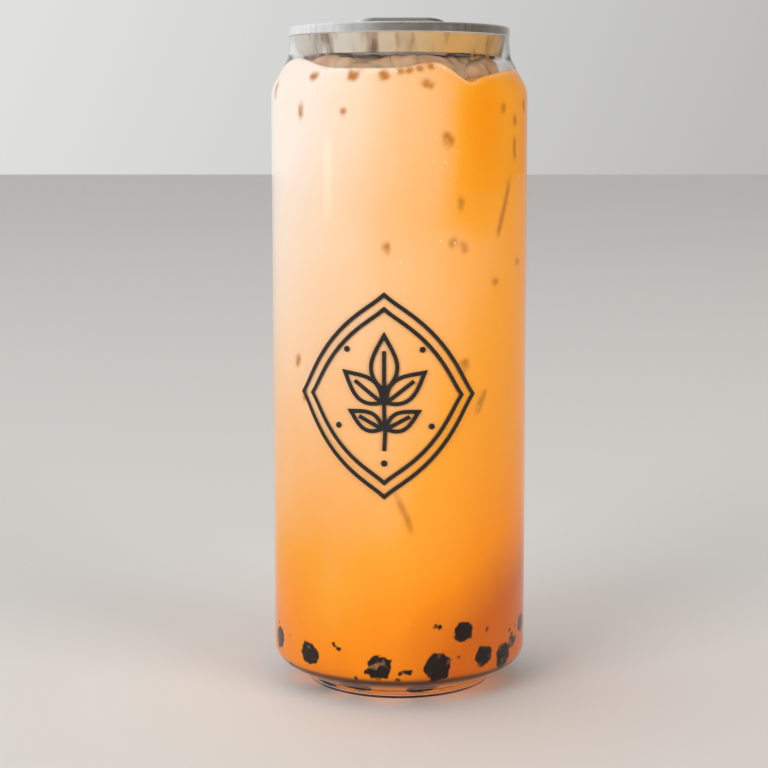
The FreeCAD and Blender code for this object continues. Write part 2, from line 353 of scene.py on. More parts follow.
def lathe(name, radii, heights, sharp=None):
    """A turned mesh from rows of radii and heights, one column a segment. A row on the axis is one point."""
    rows, columns = radii.shape
    angles = np.arange(columns) * math.tau / columns - math.pi / 2
    points, index = [], []
    for r, z in zip(radii, heights):
        if r.max() < 1e-9:
            index.append([len(points)] * columns)
            points.append((0, 0, float(z.mean())))
        else:
            index.append(list(range(len(points), len(points) + columns)))
            points += list(zip((r * np.cos(angles)).tolist(), (r * np.sin(angles)).tolist(), z.tolist()))
    faces = []
    for low, high in zip(index, index[1:]):
        for j in range(columns):
            k = (j + 1) % columns
            corners = (low[j], low[k], high[k], high[j])
            faces.append(tuple(dict.fromkeys(corners)))
    mesh = bpy.data.meshes.new(name)
    mesh.from_pydata(points, [], faces)
    mesh.shade_smooth()
    if sharp is not None:
        mesh.set_sharp_from_angle(angle=math.radians(sharp))
    return mesh


def joined(name, parts):
    """One smooth mesh from parts, each its points and its faces."""
    points, faces = [], []
    for part_points, part_faces in parts:
        start = len(points)
        points += [tuple(p) for p in part_points]
        faces += [tuple(start + i for i in face) for face in part_faces]
    mesh = bpy.data.meshes.new(name)
    mesh.from_pydata(points, [], faces)
    mesh.shade_smooth()
    return mesh


def ball(subdivisions):
    """The points and faces of a round ball of radius 1."""
    made = bmesh.new()
    bmesh.ops.create_icosphere(made, subdivisions=subdivisions, radius=1)
    made.verts.ensure_lookup_table()
    points = np.array([v.co[:] for v in made.verts])
    faces = [tuple(v.index for v in f.verts) for f in made.faces]
    made.free()
    return points, faces


def block(cuts, softness):
    """The points and faces of a cube of half edge 1 whose corners are melted round."""
    made = bmesh.new()
    bmesh.ops.create_cube(made, size=2)
    bmesh.ops.subdivide_edges(made, edges=made.edges[:], cuts=cuts, use_grid_fill=True)
    made.verts.ensure_lookup_table()
    points = np.array([v.co[:] for v in made.verts])
    faces = [tuple(v.index for v in f.verts) for f in made.faces]
    made.free()
    power = 2 / softness
    norm = (np.abs(points) ** power).sum(axis=1) ** (1 / power)
    return points / norm[:, None], faces


def at_wall(angle, radius, height):
    """A place at an angle from the front, in radians, positive to the right."""
    return Vector((radius * math.sin(angle), -radius * math.cos(angle), height))


def lumpy(points, depth, scale, seed):
    """Points moved in and out along their own direction by smooth noise."""
    shift = Vector((seed * 7.3, seed * 3.1, seed * 5.7))
    lift = [1 + depth * noise.noise(Vector(p) * scale + shift) for p in points]
    return points * np.array(lift)[:, None]


# ---------------------------------------------------------------------------------------------- materials


def material(name, **sockets):
    """A new material, its tree and its shader, with these sockets, named with underscores for spaces."""
    made = bpy.data.materials.new(name)
    made.use_nodes = True
    shader = made.node_tree.nodes["Principled BSDF"]
    for socket, value in sockets.items():
        shader.inputs[socket.replace("_", " ")].default_value = value
    return made, made.node_tree, shader


def add(tree, kind, settings=None, **inputs):
    """A new node, whose inputs are numbers or other nodes' outputs, by name or as i0, i1 and so on."""
    made = tree.nodes.new(kind)
    for key, value in (settings or {}).items():
        setattr(made, key, value)
    for key, value in inputs.items():
        socket = made.inputs[int(key[1:]) if key[1:].isdigit() else key.replace("_", " ")]
        if isinstance(value, bpy.types.NodeSocket):
            tree.links.new(value, socket)
        else:
            socket.default_value = value
    return made


def maths(tree, operation, a, b=0.0, clamp=False):
    return add(tree, "ShaderNodeMath", {"operation": operation, "use_clamp": clamp}, i0=a, i1=b).outputs[0]


def place(tree, scale=(1, 1, 1)):
    """The object's own coordinates, scaled."""
    where = add(tree, "ShaderNodeTexCoord").outputs["Object"]
    return add(tree, "ShaderNodeMapping", Vector=where, Scale=scale).outputs[0]


def noise_of(tree, vector, scale, detail=3.0):
    return add(tree, "ShaderNodeTexNoise", Vector=vector, Scale=scale, Detail=detail).outputs["Fac"]


def ramp(tree, factor, stops):
    """A colour ramp with stops of (place, colour)."""
    node = add(tree, "ShaderNodeValToRGB", Fac=factor)
    elements = node.color_ramp.elements
    while len(elements) < len(stops):
        elements.new(0.5)
    for element, (position, rgb) in zip(elements, stops):
        element.position = position
        element.color = (*rgb, 1)
    return node.outputs["Color"]


def mixed(tree, factor, a, b):
    node = add(tree, "ShaderNodeMix", {"data_type": "RGBA"})
    for socket, value in ((node.inputs[0], factor), (node.inputs[6], a), (node.inputs[7], b)):
        if isinstance(value, bpy.types.NodeSocket):
            tree.links.new(value, socket)
        else:
            socket.default_value = value if isinstance(value, float) else (*value, 1)
    return node.outputs[2]


def smooth_step(tree, value, start, end):
    """From 0 at the start to 1 at the end, with soft ends."""
    step = {"interpolation_type": "SMOOTHSTEP"}
    return add(tree, "ShaderNodeMapRange", step, Value=value, i1=start, i2=end).outputs[0]


def bumped(tree, shader, height, strength, distance):
    bump = add(tree, "ShaderNodeBump", Height=height, Strength=strength, Distance=distance)
    tree.links.new(bump.outputs[0], shader.inputs["Normal"])


def clear_plastic():
    """Blown bottle plastic: clear, glossy and faintly wavy."""
    clear = (0.99, 0.988, 0.98, 1)
    made, tree, shader = material(
        "clear_plastic", Base_Color=clear, Transmission_Weight=1.0, IOR=1.38, Roughness=0.05
    )
    wave = noise_of(tree, place(tree, (1, 1, 0.3)), 55, 1.0)
    bumped(tree, shader, wave, 0.12, 0.6 * MM)
    return made


# The dark tea over what is sunk in it: the mesh's value, the colour, how ragged the film's edge is, and the
# values at which it begins and is full.
FILMS = [
    ("ice_film", "ice_shadow", 0.16, 0.12, 0.95),
    ("pearl_film", "pearl_shadow", 0.75, 0.44, 0.6),
]


def tea_finish():
    """Milk tea: strong or milky as the mesh says, with clouds of milk, dark films over pearls and ice, and
    painted light and shade at the heel.
    """
    looks = group("milk_tea_looks")
    made, tree, shader = material(
        "milk_tea", Roughness=0.42, IOR=1.1, Subsurface_Weight=0.06, Subsurface_Scale=1.5 * MM
    )
    shader.inputs["Subsurface Radius"].default_value = (1.0, 0.6, 0.3)
    strength = add(tree, "ShaderNodeAttribute", {"attribute_name": "strength"}).outputs["Fac"]
    clouds = noise_of(tree, place(tree, (1, 1, 0.45)), 38, 4.0)
    wisps = noise_of(tree, place(tree, (1, 1, 0.3)), 160, 3.0)
    swirl = maths(tree, "MULTIPLY", maths(tree, "SUBTRACT", clouds, 0.5), 0.14)
    fine = maths(tree, "MULTIPLY", maths(tree, "SUBTRACT", wisps, 0.5), 0.05)
    factor = maths(tree, "ADD", maths(tree, "ADD", strength, swirl), fine, clamp=True)
    steps = [looks.milk, looks.cream, looks.peach, looks.orange, looks.amber, looks.brown]
    tea = ramp(tree, factor, [(i / 5, tuple(c)) for i, c in enumerate(steps)])
    # Painted shade and light at the heel: a dark line of painted shade in the crease above the heel, and
    # below it a brighter orange painted to make up for the shade under the heel.
    height = add(tree, "ShaderNodeSeparateXYZ", Vector=place(tree)).outputs["Z"]
    heel = smooth_step(tree, height, 7.9 * MM, 6.6 * MM)
    low = maths(tree, "MULTIPLY", height, 1 / (8 * MM))
    shades = ramp(tree, low, [(0.5, tuple(looks.heel_shade_tone)), (0.72, tuple(looks.crease))])
    tea = mixed(tree, heel, tea, shades)
    ragged = maths(tree, "SUBTRACT", noise_of(tree, place(tree), 650, 4.0), 0.5)
    for name, tint, raggedness, thin, thick in FILMS:
        shade = add(tree, "ShaderNodeAttribute", {"attribute_name": name}).outputs["Fac"]
        torn = maths(tree, "ADD", shade, maths(tree, "MULTIPLY", ragged, raggedness))
        flecks = noise_of(tree, place(tree), 480, 3.0)
        veil = add(tree, "ShaderNodeMapRange", Value=flecks, i1=0.6, i2=0.74, i4=0.35).outputs[0]
        film = mixed(tree, veil, tuple(getattr(looks, tint)), tuple(looks.peach))
        tea = mixed(tree, smooth_step(tree, torn, thin, thick), tea, film)
    tree.links.new(tea, shader.inputs["Base Color"])
    return made


def pearl_finish():
    """Tapioca: nearly black jelly with brown flecks."""
    made, tree, shader = material("tapioca", Roughness=0.35, IOR=1.34)
    milky = [(0.3, (0.004, 0.002, 0.002)), (0.6, (0.02, 0.008, 0.005)), (0.72, (0.16, 0.085, 0.06))]
    tint = ramp(tree, noise_of(tree, place(tree), 330, 3.0), milky)
    tree.links.new(tint, shader.inputs["Base Color"])
    bumped(tree, shader, noise_of(tree, place(tree), 900, 2.0), 0.25, 0.2 * MM)
    return made


def ice_finish():
    """Melting ice, stained by the tea."""
    made, tree, shader = material(
        "ice",
        Transmission_Weight=0.3,
        IOR=1.31,
        Roughness=0.1,
        Subsurface_Weight=0.3,
        Subsurface_Scale=3 * MM,
    )
    stains = [(0.3, (0.60, 0.30, 0.13)), (0.7, (0.92, 0.62, 0.41))]
    stain = ramp(tree, noise_of(tree, place(tree), 150, 2.0), stains)
    tree.links.new(stain, shader.inputs["Base Color"])
    bumped(tree, shader, noise_of(tree, place(tree), 260, 2.0), 0.3, 0.5 * MM)
    return made


def foam_finish():
    """Wet milk foam."""
    made, tree, shader = material(
        "milk_foam", Roughness=0.25, IOR=1.34, Subsurface_Weight=0.2, Subsurface_Scale=1.0 * MM
    )
    tints = [(0.3, (0.93, 0.68, 0.42)), (0.7, (0.99, 0.88, 0.74))]
    tint = ramp(tree, noise_of(tree, place(tree), 300, 2.0), tints)
    tree.links.new(tint, shader.inputs["Base Color"])
    return made


def ink_finish():
    """Screen-printed black ink with a faint grain."""
    made, tree, shader = material("black_print", Roughness=0.4)
    blacks = [(0.3, (0.006, 0.005, 0.005)), (0.8, (0.022, 0.018, 0.016))]
    grain = ramp(tree, noise_of(tree, place(tree), 1500, 2.0), blacks)
    tree.links.new(grain, shader.inputs["Base Color"])
    return made


def metal_finish(name, roughness):
    """Bright rolled sheet with fine streaks along its rolling direction."""
    made, tree, shader = material(name, Metallic=1.0)
    streaks = noise_of(tree, place(tree, (1, 14, 1)), 110, 3.0)
    tint = ramp(tree, streaks, [(0.3, (0.74, 0.745, 0.75)), (0.7, (0.88, 0.885, 0.89))])
    tree.links.new(tint, shader.inputs["Base Color"])
    rough = maths(tree, "MULTIPLY_ADD", streaks, 0.12)
    rough.node.inputs[2].default_value = roughness
    tree.links.new(rough, shader.inputs["Roughness"])
    bumped(tree, shader, streaks, 0.08, 0.1 * MM)
    return made


def lacquer_finish():
    """Golden lacquer over metal, painted pale silver at the left as a painted highlight, with dark patches
    and the uneven mirroring of a thin pressed wall.
    """
    made, tree, shader = material("end_lacquer", Metallic=1.0, Roughness=0.13)
    across = add(tree, "ShaderNodeSeparateXYZ", Vector=place(tree)).outputs["X"]
    # Painted highlight: pale silver at the left, where the bright light is mirrored, fading to gold at the
    # right.
    highlight_to_gold = add(tree, "ShaderNodeMapRange", Value=across, i1=-14 * MM, i2=12 * MM).outputs[0]
    lacquer = mixed(tree, highlight_to_gold, (0.93, 0.87, 0.79), (0.92, 0.54, 0.19))
    # Dark brown patches laid over the lacquer by noise.
    stain = noise_of(tree, place(tree, (1, 1, 0.25)), 130, 3.0)
    lacquer = mixed(tree, smooth_step(tree, stain, 0.5, 0.66), lacquer, (0.24, 0.13, 0.06))
    tree.links.new(lacquer, shader.inputs["Base Color"])
    bumped(tree, shader, noise_of(tree, place(tree, (1, 1, 0.6)), 170, 1.5), 0.7, 1.2 * MM)
    return made


# ---------------------------------------------------------------------------------------------- pieces


def make_can():
    """The clear can, turned from its section."""
    c = group("clear_can_sizes")
    outline = outside_wall() + inside_wall()[::-1]
    radii = np.array([[p.x] * c.segments for p in outline])
    heights = np.array([[p.y] * c.segments for p in outline])
    mesh = lathe("clear_can_shell", radii, heights, sharp=50)
    shell = new_piece("clear_can_shell", mesh, clear_plastic(), ["clear_can"])
    # Light reaches the tea as if the wall weren't there, and the wall is seen by its gloss.
    shell.visible_shadow = False
    shell.visible_diffuse = False
    return shell


# Pearls that press against the wall: the angle from the front in degrees, the height and the distance of the
# pearl's middle from the wall, in mm, and the pearl's size against the usual one.
WALL_PEARLS = [
    (-70.6, 12.6, 3.3, 0.86), (-44, 12.0, 3.2, 0.86), (-8.8, 11.0, 3.0, 0.82), (17, 10.7, 3.0, 0.90),
    (29.6, 18.6, 3.5, 0.86), (40.8, 11.7, 3.0, 0.78), (54.5, 10.6, 3.0, 0.82), (73.5, 16.2, 3.0, 0.74),
    (-59.6, 7.2, 4.3, 0.9), (-24, 6.4, 4.9, 0.95), (12, 6.0, 4.9, 0.9), (62, 13.2, 4.0, 0.88),
]
# Layers of pearls round the back: the height in mm, the step in degrees and the share of places taken.
BACK_LAYERS = [(9.5, 15, 0.9), (16.5, 21, 0.55)]
# Rings of pearls that lie on the base: the ring's radius in mm and the number of pearls.
BASE_RINGS = [(21.0, 13), (11.5, 7), (2.0, 1)]
# Crumbs of pearl: how many round each pearl at the wall, and the share of a pearl's size that none reaches.
CRUMBS_EACH, CRUMB_LIMIT = 3, 0.4


def make_pearls():
    """Tapioca pearls at the wall in front, a loose heap round the back, some on the base, and crumbs."""
    sizes, hollow = group("pearl_sizes"), Hollow()
    chance = random.Random(sizes.seed)
    places = []
    for angle, height, inset, share in WALL_PEARLS:
        radius = hollow.radius(height * MM) - inset * MM
        places.append((at_wall(math.radians(angle), radius, height * MM), share))
    for layer, (height, step, kept) in enumerate(BACK_LAYERS):
        angle = 88 + 6 * layer
        while angle < 275:
            z = (height + chance.uniform(-1.4, 2.2)) * MM
            inset = chance.uniform(3.0, 4.3) * MM
            if chance.random() < kept:
                spot = at_wall(math.radians(angle), hollow.radius(z) - inset, z)
                places.append((spot, 1 + chance.uniform(-1, 1) * sizes.spread))
            angle += step + chance.uniform(-3, 5)
    for radius, count in BASE_RINGS:
        for k in range(count):
            angle = math.tau * (k + chance.uniform(-0.2, 0.2)) / count
            r = (radius + chance.uniform(-1, 1)) * MM
            z = float(hollow.base(r)) + chance.uniform(3.4, 4.2) * MM
            places.append((at_wall(angle, r, z), 1 + chance.uniform(-1, 1) * sizes.spread))
    for spot, share in places[: len(WALL_PEARLS)] * CRUMBS_EACH:
        turn = Matrix.Rotation(chance.gauss(0, 0.16), 3, "Z")
        z = spot.z + chance.uniform(-5, 4) * MM
        if z > 6 * MM:
            outward = (turn @ Vector((spot.x, spot.y, 0))).normalized()
            flat = outward * (float(hollow.radius(z)) - 0.6 * MM)
            places.append((Vector((flat.x, flat.y, z)), chance.uniform(0.02, 0.06) * share))
    parts = []
    round_points, faces = ball(4)
    crumb_points, crumb_faces = ball(2)
    for number, (spot, share) in enumerate(places):
        if share < CRUMB_LIMIT:
            points = lumpy(crumb_points, 0.5, 1.4, number) * sizes.radius * share + np.array(spot)
            parts.append((hollow.press(points, -sizes.film), crumb_faces))
            continue
        points = lumpy(round_points, sizes.lumps / sizes.radius, 1.6, number)
        points = lumpy(points, sizes.lumps / sizes.radius * 0.35, 4.5, number + 90)
        points = points * sizes.radius * share + np.array(spot)
        parts.append((hollow.press(points, -sizes.film), faces))
    return new_piece("tapioca_pearls", joined("tapioca_pearls", parts), pearl_finish())


# Corners and edges of ice that touch the wall in front: the angle in degrees, the height, the width and the
# height of what touches in mm, and its lean in degrees.
ICE_TOUCHES = [
    (-41.8, 156.3, 2.0, 2.0, 0), (-20.9, 156.2, 2.6, 2.6, 30), (-6.9, 156.1, 2.1, 2.9, 10),
    (12.1, 154.6, 3.4, 2.1, 0), (-47.9, 148.6, 0.9, 3.7, 5), (-24.7, 148.3, 1.0, 2.0, 0),
    (-72, 153.6, 1.4, 3.7, 0), (-5.7, 115.3, 1.7, 3.2, 0), (24, 116.3, 4.5, 2.4, 80),
    (29, 115.5, 2.2, 3.0, 10), (27.5, 126.1, 0.9, 3.2, 0), (21.4, 141.6, 2.6, 4.2, -15),
    (53.3, 125.6, 1.5, 15.0, 20), (61.5, 139, 1.2, 5.8, 0), (61.5, 146.3, 1.4, 2.5, 0),
    (73.4, 150, 2.0, 3.4, 0), (51.5, 149.1, 1.6, 2.4, 20), (46.6, 106.4, 1.4, 1.4, 0),
    (64.5, 110.8, 2.0, 1.6, 0), (29, 86.0, 2.4, 4.5, 35), (38, 76.5, 1.4, 7.0, 25),
    (2.5, 49.5, 0.8, 9.5, -22), (-50.7, 86.6, 1.6, 3.0, 0), (-46, 78, 1.4, 2.4, 0),
    (0.7, 157.5, 1.2, 1.2, 0), (4.7, 157.8, 1.3, 1.3, 0), (9.3, 158.2, 1.5, 1.5, 0),
    (14.8, 158.7, 1.2, 1.2, 0),
]
# How many more there are round the back.
BACK_TOUCHES = 26

# Ice at the top of the tea: the angle in degrees, the distance of the middle from the axis and the height of
# the top in mm, and the size against the usual one.
ICE_TOPS = [
    (-56, 22.5, 162.0, 0.75), (-43, 22.8, 162.3, 0.9), (-30, 22.5, 162.0, 0.85), (-19, 22.8, 162.4, 0.9),
    (-7, 22.5, 161.9, 0.85), (5, 22.8, 162.2, 0.85), (18, 22.5, 162.45, 0.95), (28, 21.0, 162.4, 0.85),
    (39, 20.5, 162.2, 0.85), (-76, 20.5, 161.9, 1.0), (51, 21.0, 162.35, 0.9), (66, 21.0, 162.1, 0.95),
    (100, 20, 161.6, 1.1), (132, 20.5, 162.1, 1.0), (168, 21, 161.7, 1.1), (-112, 21, 162.0, 1.05),
    (-146, 20.5, 161.5, 1.0), (40, 5, 162.3, 1.1), (-140, 7, 162.2, 1.1), (-40, 8, 162.0, 1.0),
]


def make_ice():
    """Ice: cubes that break the tea's top, and the corners and edges that touch the wall further down."""
    sizes, hollow = group("ice_sizes"), Hollow()
    chance = random.Random(sizes.seed)
    parts = []
    cube_points, cube_faces = block(11, 0.6)
    for number, (angle, reach, top, share) in enumerate(ICE_TOPS):
        about = Matrix.Rotation(chance.uniform(0, math.tau), 3, "Z")
        spin = about @ Matrix.Rotation(chance.uniform(-0.5, 0.5), 3, "X")
        points = lumpy(cube_points, 0.16, 1.6, number) * sizes.cube * share / 2
        points = points @ np.array(spin).T
        middle = at_wall(math.radians(angle), reach * MM, 0)
        points = points + np.array((middle.x, middle.y, top * MM - points[:, 2].max()))
        parts.append((hollow.press(points, 0.12 * MM), cube_faces))
    shard_points, shard_faces = ball(3)
    touches = list(ICE_TOUCHES)
    for _ in range(BACK_TOUCHES):
        height = chance.uniform(40, 156)
        angle = chance.uniform(85, 275)
        wide = chance.uniform(0.9, 3.0)
        tall = chance.uniform(1.5, 7)
        touches.append((angle, height, wide, tall, chance.uniform(-30, 30)))
    for number, (angle, height, wide, tall, lean) in enumerate(touches):
        depth = 0.5 * (wide + 1.6)
        shape = lumpy(shard_points, 0.35, 1.5, number + 40) * (wide * 0.62, depth, tall * 0.58)
        turn = Matrix.Rotation(math.radians(angle), 3, "Z") @ Matrix.Rotation(math.radians(lean), 3, "Y")
        r = float(hollow.radius(height * MM)) - depth * MM
        points = (shape * MM) @ np.array(turn).T + np.array(at_wall(math.radians(angle), r, height * MM))
        parts.append((hollow.press(points, -0.1 * MM), shard_faces))
    return new_piece("ice", joined("ice", parts), ice_finish())


# Stronger or milkier places: the angle and the height share of the middle, the width in degrees, the height
# share, and the change of strength.
STRONG_PLACES = [
    (36, 0.93, 13, 0.12, 0.18), (28, 0.80, 10, 0.10, 0.06), (-34, 0.165, 16, 0.07, -0.13),
    (-75, 0.12, 18, 0.10, 0.04), (0, 0.0, 60, 0.07, 0.04), (60, 0.08, 30, 0.10, 0.06),
    (180, 0.6, 40, 0.4, 0.10), (118, 0.72, 16, 0.25, -0.12), (150, 0.4, 14, 0.22, 0.12),
    (-125, 0.5, 18, 0.3, 0.10), (-100, 0.85, 14, 0.15, -0.10), (92, 0.5, 10, 0.5, 0.08),
]


# How strong the tea is at the top, and what is added on the way down: the strength, the height share at which
# half of it is there, and how gradual that is.
TOP_STRENGTH = 0.385
SETTLING = [(0.16, 0.5, 0.1), (0.32, 0.2, 0.045)]
# What the tea gains at the right and loses high up at the left: partly real milk at the left, partly painted
# light and shade, with the lit left paler and the right darker.
RIGHT_STRENGTH_AND_SHADE, LEFT_MILK_AND_LIGHT = 0.25, 0.60
# How far the streaks waver round the can, in radians.
WAVER = 0.14


def tea_strength(angle, z):
    """How strong the tea is, from 0, milk, to 1, at an angle from the front and a share of its height, with
    painted light and shade from side to side.
    """
    angle += WAVER * noise.noise(Vector((math.sin(angle), math.cos(angle), z * 7)))
    side = math.sin(angle)
    value = TOP_STRENGTH
    for gain, middle, blur in SETTLING:
        value += gain / (1 + math.exp((z - middle) / blur))
    # Partly painted light and shade: the left, where the light falls, is painted paler high up and the right
    # stronger and darker; partly milk that really lies at the left.
    value += side * RIGHT_STRENGTH_AND_SHADE if side > 0 else side * LEFT_MILK_AND_LIGHT * z * z
    for middle, height, width, tall, change in STRONG_PLACES:
        across = math.remainder(angle - math.radians(middle), math.tau) / math.radians(width)
        value += change * math.exp(-across * across - ((z - height) / tall) ** 2)
    return min(max(value, 0.0), 1.0)


# Rows of faces in the tea's top, from the wall to the axis.
TOP_RINGS = 26
# The sunk piece that each dark film lies over, and how quickly the film fades away from it, in mm.
FILM_REACH = {"pearl_film": ("tapioca_pearls", 1.0), "ice_film": ("ice", 0.7)}


def make_tea():
    """The tea: up the wall to an uneven waterline, with a rolling top, and films over what is sunk in it."""
    looks, hollow = group("milk_tea_looks"), Hollow()
    columns = group("clear_can_sizes").segments
    angles = np.arange(columns) * math.tau / columns
    line = np.array([waterline(a) for a in angles])
    radii, heights = [], []
    for r, z in hollow.floor:
        radii.append(np.full(columns, r))
        heights.append(np.full(columns, z - looks.overlap))
    low = float(hollow.side[0, 1])
    rows = int((line.mean() - low) / looks.row_height)
    for k in range(1, rows + 1):
        z = low + (line - low) * (k / rows) ** 0.98
        radii.append(hollow.radius(z) + looks.overlap)
        heights.append(z)
    edge = radii[-1]
    for k in range(1, TOP_RINGS + 1):
        inward = (k / TOP_RINGS) ** 1.3
        r = edge * (1 - inward)
        dip = 1.0 * MM * (1 - math.exp(-inward * 14))
        roll = [
            looks.swell * noise.noise(Vector((radius * math.sin(a), radius * math.cos(a), 0.3)) * 90)
            for radius, a in zip(r, angles)
        ]
        level = line * (1 - inward) ** 3 + TEA_HIGH.z * (1 - (1 - inward) ** 3)
        radii.append(r if k < TOP_RINGS else np.zeros(columns))
        heights.append(level - dip + np.array(roll) * min(1, inward * 4))
    mesh = lathe("tea", np.array(radii), np.array(heights))
    top = TEA_HIGH.z
    strength = []
    for vertex in mesh.vertices:
        angle = math.atan2(vertex.co.x, -vertex.co.y)
        below = (waterline(angle) - vertex.co.z) / (1.1 * MM)
        strength.append(tea_strength(angle, vertex.co.z / top) - looks.meniscus * math.exp(-below * below))
    attribute(mesh, "strength", strength)
    for name, (piece, reach) in FILM_REACH.items():
        attribute(mesh, name, film_over(mesh, bpy.data.objects[piece], reach * MM))
    return new_piece("tea", mesh, tea_finish(), ["milk_tea"])


def attribute(mesh, name, values):
    """A value at each vertex, for the mesh's material."""
    mesh.attributes.new(name, "FLOAT", "POINT").data.foreach_set("value", values)


def film_over(mesh, piece, reach):
    """How dark a sunk piece makes the tea at each vertex: 1 at the piece, fading within a few reaches."""
    corners = [v.co for v in piece.data.vertices]
    tree = BVHTree.FromPolygons(corners, [face.vertices for face in piece.data.polygons])
    values = []
    for vertex in mesh.vertices:
        found = tree.find_nearest(vertex.co, 6 * reach)
        values.append(math.exp(-found[3] / reach) if found[0] is not None else 0.0)
    return values


# Larger bubbles at the wall in front: the angle in degrees and the height in mm.
LARGE_BUBBLES = [(-8.5, 150.4), (-38, 153), (-31, 122.5), (-23.5, 121), (24.5, 116.4), (18, 117), (0.5, 112)]
BUBBLE_SEED = 11


def make_bubbles():
    """Bubbles: foam along the waterline, a few large ones, and specks at the wall beside the ice."""
    hollow = Hollow()
    chance = random.Random(BUBBLE_SEED)
    points, faces = ball(2)
    parts = []

    def add_bubble(angle, height, radius):
        z = height * MM
        r = float(hollow.radius(z)) - 0.35 * radius * MM
        placed = points * radius * MM + np.array(at_wall(math.radians(angle), r, z))
        parts.append((hollow.press(placed, 0.1 * MM), faces))

    for _ in range(80):
        angle = chance.uniform(-180, 180)
        size = 0.14 + 0.3 * chance.random() ** 3
        add_bubble(angle, waterline(math.radians(angle)) / MM - chance.uniform(0.2, 1.2), size)
    for _ in range(26):
        add_bubble(21.4 + chance.gauss(0, 4.0), 139.5 + chance.gauss(0, 6.0), chance.uniform(0.1, 0.24))
    for angle, height in LARGE_BUBBLES:
        add_bubble(angle, height, 0.3)
    for _ in range(60):
        add_bubble(chance.uniform(-180, 180), chance.uniform(20, 152), chance.uniform(0.08, 0.2))
    return new_piece("foam_bubbles", joined("foam_bubbles", parts), foam_finish())


def leaf(x, y, size, lean, steps=18):
    """The outline and the midrib of a pointed leaf whose stem end is at (x, y), leaning from upright."""
    turn = Matrix.Rotation(-math.radians(lean), 2)
    outline = []
    for side, order in ((-1, range(steps + 1)), (1, range(steps - 1, 0, -1))):
        for k in order:
            share = k / steps
            belly = 0.27 * math.sin(math.pi * share**0.85) * (1 - 0.25 * share)
            outline.append(turn @ Vector((side * belly * size, share * size)) + Vector((x, y)))
    rib = [turn @ Vector((0, share * size)) + Vector((x, y)) for share in (0.0, 0.35, 0.72)]
    return outline, rib


# The print, in mm about its middle: the leaves, each with its stem end's place, its length and its lean in
# degrees; the stem's points; the dots, each with its place and radius; the lozenges' shares of the whole.
LEAVES = [(0, 1.5, 13.5, 0), (0.6, -1.5, 12, 52), (-0.6, -1.5, 12, -52), (0.6, -8, 9, 62), (-0.6, -8, 9, -62)]
STEM = [(0, 1.5), (0, -4), (0.25, -9), (0, -13.5)]
DOTS = [(0, -16.6, 0.8), (9.5, 11.5, 0.75), (-9.5, 11.5, 0.75), (11.8, -7.5, 0.75), (-11.8, -7.5, 0.75)]
LOZENGES = (1.0, 0.86)
# How far a lozenge's sides swell out, as a share, and the points along a side.
SIDE_SWELL, SIDE_POINTS = 0.14, 16


def drawing():
    """The print's closed lines and open lines, in mm about its middle: a sprig in a double lozenge."""
    sizes = group("print_sizes")
    closed, lines = [], [[Vector(point) for point in STEM]]
    for share in LOZENGES:
        wide, tall = sizes.width / MM / 2 * share, sizes.height / MM / 2 * share
        corners = [(0, tall), (wide, 0), (0, -tall), (-wide, 0)]
        outline = []
        for (x0, y0), (x1, y1) in zip(corners, corners[1:] + corners[:1]):
            for k in range(SIDE_POINTS):
                t = k / SIDE_POINTS
                sway = 1 + SIDE_SWELL * math.sin(math.pi * t) ** 1.4
                outline.append(Vector(((x0 + (x1 - x0) * t) * sway, (y0 + (y1 - y0) * t) * sway)))
        closed.append(outline)
    for place_and_size in LEAVES:
        outline, rib = leaf(*place_and_size)
        closed.append(outline)
        lines.append(rib)
    return closed, lines


# How far the ink is sunk in the wall, in mm.
INK_ROOT = 0.02


def make_print():
    """The print: lines of ink laid on the body's outside."""
    sizes, can = group("print_sizes"), group("clear_can_sizes")

    def laid(x, y, lift):
        angle = sizes.turn + x * MM / can.body_radius
        return at_wall(angle, can.body_radius + lift, sizes.middle + y * MM)

    def ribbon(points, is_closed):
        half = sizes.line / MM / 2
        count = len(points)
        rows = []
        for i, p in enumerate(points):
            before = points[i - 1] if i or is_closed else p
            after = points[(i + 1) % count] if i + 1 < count or is_closed else p
            one, two = (p - before), (after - p)
            one = one.normalized() if one.length else two.normalized()
            two = two.normalized() if two.length else one
            along = (one + two).normalized()
            out = Vector((-along.y, along.x)) * half / max(0.5, along.dot(one))
            sides = (p + out, p - out)
            rows += [laid(s.x, s.y, lift) for lift in (-INK_ROOT * MM, sizes.ink) for s in sides]
        faces = []
        for i in range(count if is_closed else count - 1):
            a, b = 4 * i, 4 * ((i + 1) % count)
            for j, k in ((0, 1), (1, 3), (3, 2), (2, 0)):
                faces.append((a + j, a + k, b + k, b + j))
        if not is_closed:
            last = 4 * (count - 1)
            faces += [(0, 2, 3, 1), (last, last + 1, last + 3, last + 2)]
        return rows, faces

    def dot(x, y, radius):
        count = 20
        rows = []
        for lift in (-INK_ROOT * MM, sizes.ink):
            for k in range(count):
                angle = math.tau * k / count
                rows.append(laid(x + radius * math.cos(angle), y + radius * math.sin(angle), lift))
        faces = [(k, (k + 1) % count, count + (k + 1) % count, count + k) for k in range(count)]
        return rows, faces + [tuple(range(count))[::-1], tuple(range(count, 2 * count))]

    closed, lines = drawing()
    parts = [ribbon(points, True) for points in closed] + [ribbon(points, False) for points in lines]
    parts += [dot(*spot) for spot in DOTS]
    mesh = joined("black_print", parts)
    mesh.set_sharp_from_angle(angle=math.radians(40))
    return new_piece("black_print", mesh, ink_finish())


def dress_metal():
    """Gives the metal end and the pull ring their finishes."""
    for node, roughness in (("can_end", 0.15), ("pull_ring", 0.22)):
        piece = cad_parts[node]
        finish = metal_finish(f"{node}_metal", roughness)
        for slot in piece.material_slots:
            slot.material = finish


